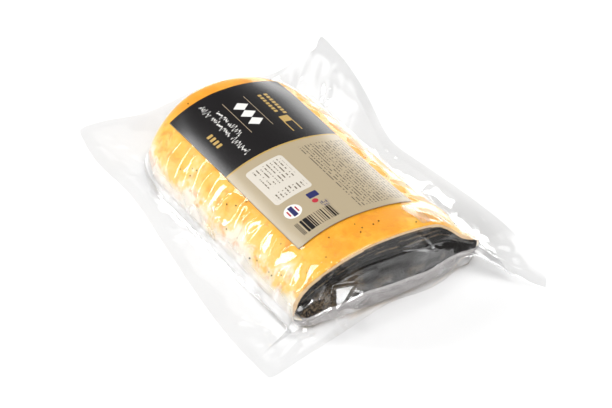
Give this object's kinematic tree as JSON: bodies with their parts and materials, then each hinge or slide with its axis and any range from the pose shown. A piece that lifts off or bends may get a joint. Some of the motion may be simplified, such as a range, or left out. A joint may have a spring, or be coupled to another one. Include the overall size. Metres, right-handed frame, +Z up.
{
  "type": "poppy seed roll in a sealed clear bag",
  "caption": "Flat oval roll whose cut end shows dark layered filling, vacuum-sealed in a clear bag with a wavy margin and a plain label across the top.",
  "frame": {"origin": "middle of the bag's outline, on the surface it lies on", "axes": "+X along the roll towards its cut end, +Y across it, +Z up out of the label"},
  "size_m": [0.2796, 0.191, 0.0446],
  "materials": {
    "bag_and_roll": "clear glossy film drawn tight over a golden crust",
    "label": "satin coated paper in black and tan fields"
  },
  "bodies": {
    "root": {"bag": "bag_and_roll", "label": "label"}
  },
  "joints": []
}
